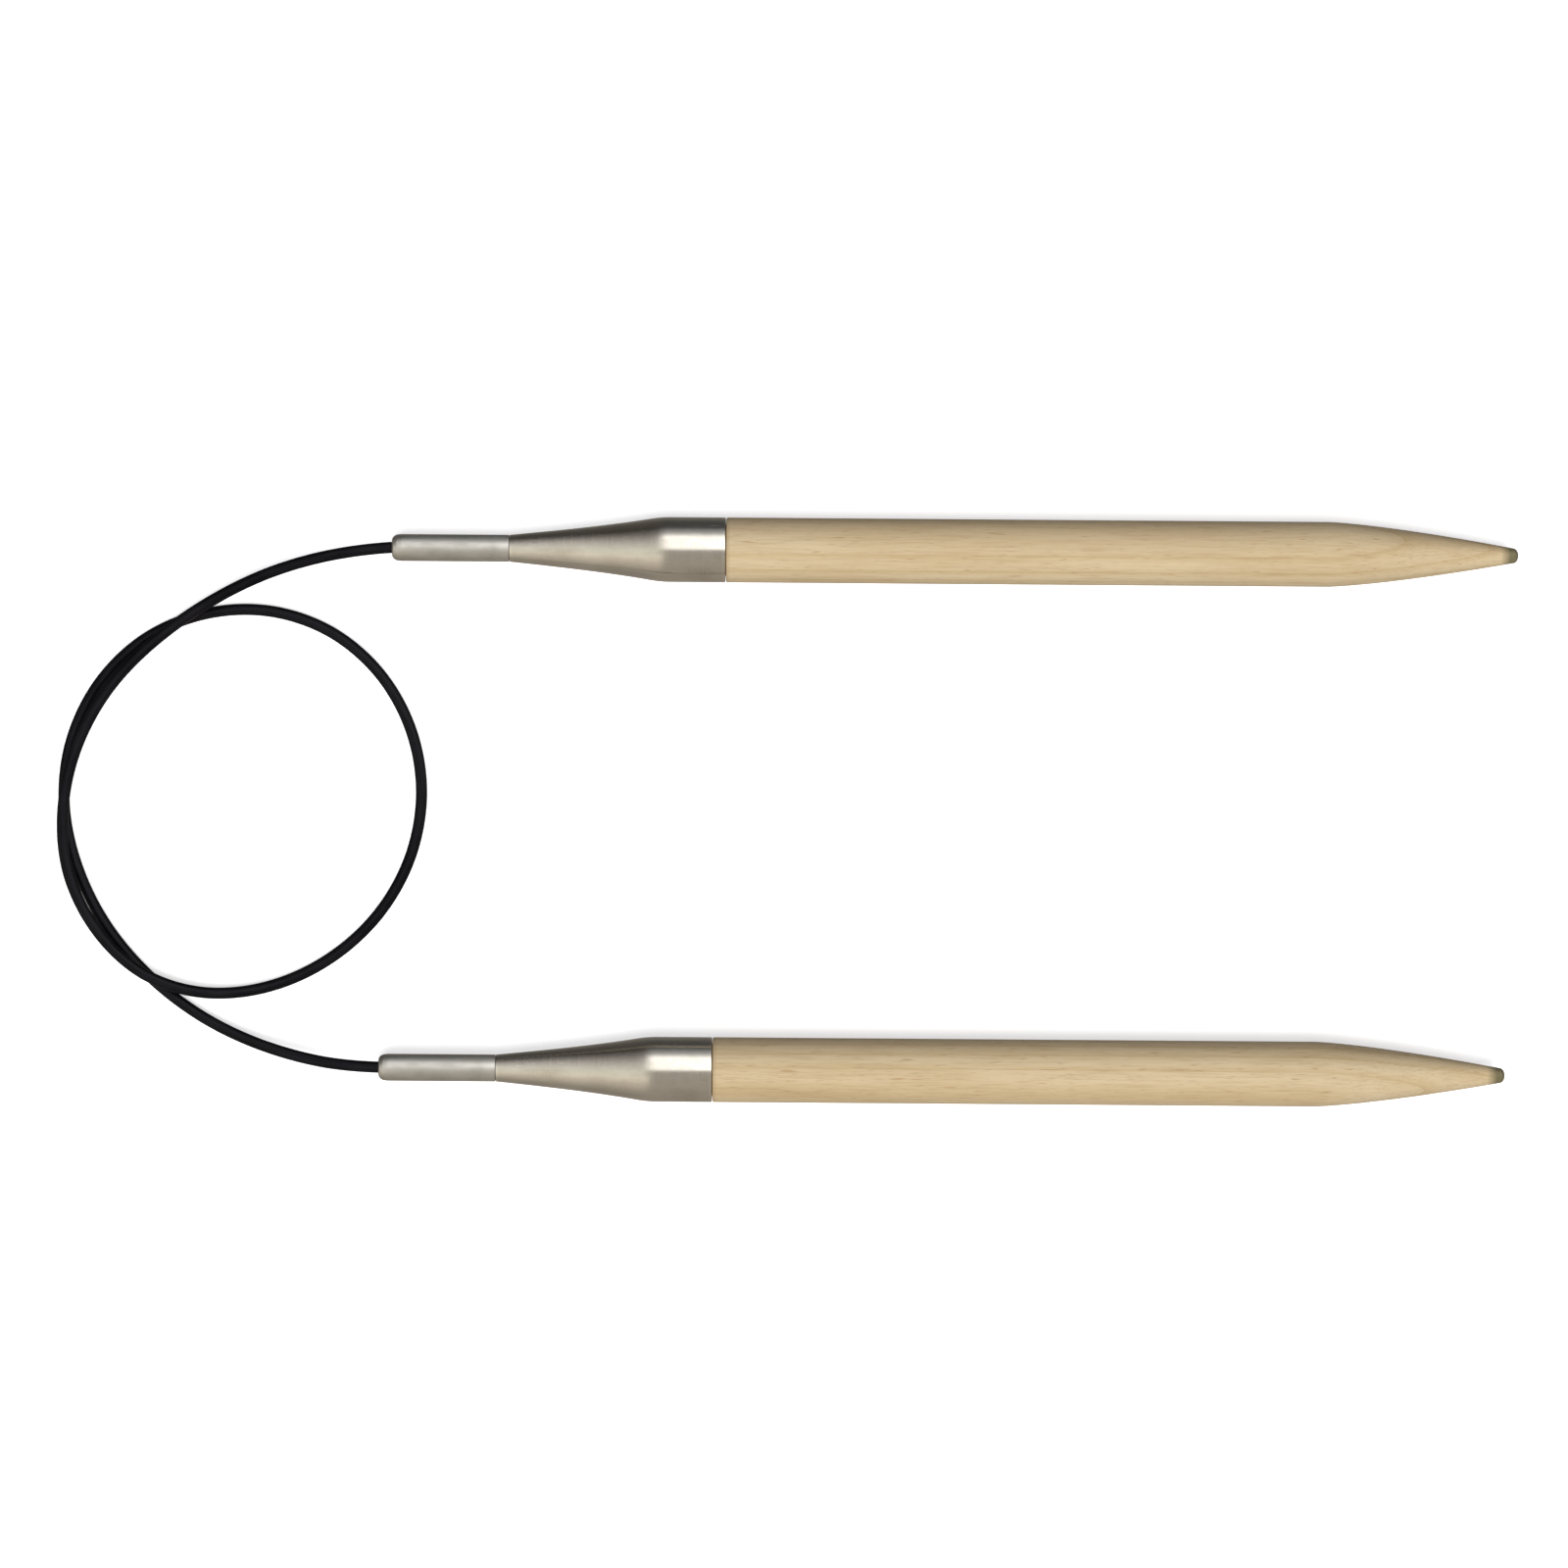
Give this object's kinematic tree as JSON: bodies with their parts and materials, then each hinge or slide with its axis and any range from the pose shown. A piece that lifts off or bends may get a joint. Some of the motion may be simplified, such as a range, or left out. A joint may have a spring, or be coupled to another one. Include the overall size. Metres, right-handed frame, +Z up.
{
  "type": "circular knitting needle",
  "caption": "Circular knitting needle: tapered wooden shafts in conical metal ferrules, joined by a thin flexible looped cord that swivels in a metal tube at each end.",
  "frame": {"origin": "on the surface the needle lies on, in the middle of the box round the two needles, the cord left out", "axes": "+X towards the needles' points, +Y from the right needle to the left needle, +Z up"},
  "size_m": [0.1349, 0.054, 0.006],
  "materials": {
    "birch": "pale birch, sanded and thinly waxed, with faint lengthwise grain",
    "nickel_plate": "polished nickel plate with fine turning marks",
    "tube_steel": "drawn tube with a satin finish",
    "cord_nylon": "black nylon, smooth with a soft sheen",
    "pin_brass": "plain turned brass",
    "epoxy": "set clear epoxy"
  },
  "bodies": {
    "cord": {"cord": "cord_nylon", "left_swivel_pin": "pin_brass"},
    "left_needle": {"left_shaft": "birch", "left_ferrule": "nickel_plate", "left_glue_ring": "epoxy", "left_cord_tube": "tube_steel"},
    "right_cord_end": {"right_swivel_pin": "pin_brass"},
    "right_needle": {"right_shaft": "birch", "right_ferrule": "nickel_plate", "right_glue_ring": "epoxy", "right_cord_tube": "tube_steel"}
  },
  "joints": [
    {"name": "left_swivel", "type": "hinge", "parent": "cord", "child": "left_needle", "pos_m": [-0.05155, 0.024, 0.003], "axis": [1, 0, 0], "continuous": true},
    {"name": "cord_flex", "type": "hinge", "parent": "cord", "child": "right_cord_end", "pos_m": [-0.0653, 0.0004, 0.003], "axis": [0, 0, 1], "range_deg": [-60, 21], "deforming": ["cord"]},
    {"name": "right_swivel", "type": "hinge", "parent": "right_cord_end", "child": "right_needle", "pos_m": [-0.05245, -0.024, 0.003], "axis": [1, 0, 0], "continuous": true}
  ]
}
